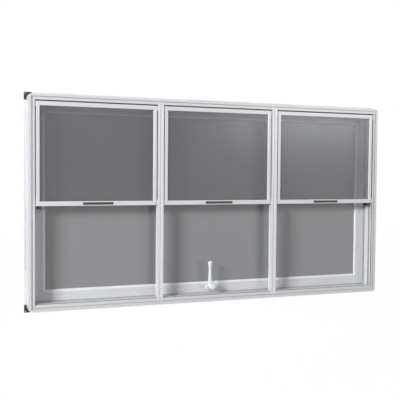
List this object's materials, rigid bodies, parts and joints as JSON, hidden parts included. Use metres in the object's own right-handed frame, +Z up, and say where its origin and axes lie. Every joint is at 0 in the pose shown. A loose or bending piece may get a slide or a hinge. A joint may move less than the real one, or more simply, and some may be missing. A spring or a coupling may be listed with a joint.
{
  "type": "concession window with lifting insect screens",
  "caption": "Wide white aluminium serving window with mullions, lifting insect screens, a top-hung glazed sash, crank operator and mounting flange.",
  "frame": {"origin": "on the room-side face of the mounting flange, at the middle of its bottom leg", "axes": "+X along the sill to the right as seen from the room, +Y outwards through the wall, +Z up"},
  "size_m": [1.926, 0.106, 1.037],
  "materials": {
    "white_aluminium": "white powder coat on extruded aluminium",
    "screen_aluminium": "white coat on roll-formed aluminium",
    "white_bead": "white plastic, extruded as beads and moulded as corner pieces",
    "black_plastic": "black moulded plastic",
    "pull_plastic": "dark extruded plastic strip",
    "seal_rubber": "black extruded rubber",
    "screen_mesh": "grey woven insect mesh",
    "grey_glass": "grey tinted flat glass",
    "white_zinc": "white coat on die-cast zinc"
  },
  "bodies": {
    "window_frame": {"head_frame": "white_aluminium", "sill_frame": "white_aluminium", "left_jamb": "white_aluminium", "right_jamb": "white_aluminium", "left_mullion": "white_aluminium", "right_mullion": "white_aluminium", "head_flange": "white_aluminium", "sill_flange": "white_aluminium", "left_flange": "white_aluminium", "right_flange": "white_aluminium", "top_left_corner": "black_plastic", "top_right_corner": "white_bead", "bottom_left_corner": "black_plastic", "bottom_right_corner": "white_bead", "sash_top_rail": "white_aluminium", "sash_bottom_rail": "white_aluminium", "sash_left_stile": "white_aluminium", "sash_right_stile": "white_aluminium", "top_bead": "white_bead", "bottom_bead": "white_bead", "left_bead": "white_bead", "right_bead": "white_bead", "glass_pane": "grey_glass", "sash_seal": "seal_rubber", "sash_hinge": "white_aluminium", "operator_housing": "white_zinc", "crank_hub": "white_zinc", "crank_handle": "white_zinc", "crank_knob": "white_zinc"},
    "left_screen": {"left_screen_frame": "screen_aluminium", "left_screen_mesh": "screen_mesh", "left_screen_pull": "pull_plastic", "left_screen_shoes": "black_plastic", "left_screen_latches": "black_plastic"},
    "centre_screen": {"centre_screen_frame": "screen_aluminium", "centre_screen_mesh": "screen_mesh", "centre_screen_pull": "pull_plastic", "centre_screen_shoes": "black_plastic"},
    "right_screen": {"right_screen_frame": "screen_aluminium", "right_screen_mesh": "screen_mesh", "right_screen_pull": "pull_plastic", "right_screen_shoes": "black_plastic", "right_screen_latches": "black_plastic"}
  },
  "joints": [
    {"name": "left_screen_slide", "type": "slide", "parent": "window_frame", "child": "left_screen", "axis": [0, 0, -1], "range_m": [0, 0.435]},
    {"name": "centre_screen_slide", "type": "slide", "parent": "window_frame", "child": "centre_screen", "axis": [0, 0, -1], "range_m": [0, 0.435]},
    {"name": "right_screen_slide", "type": "slide", "parent": "window_frame", "child": "right_screen", "axis": [0, 0, -1], "range_m": [0, 0.435]}
  ]
}
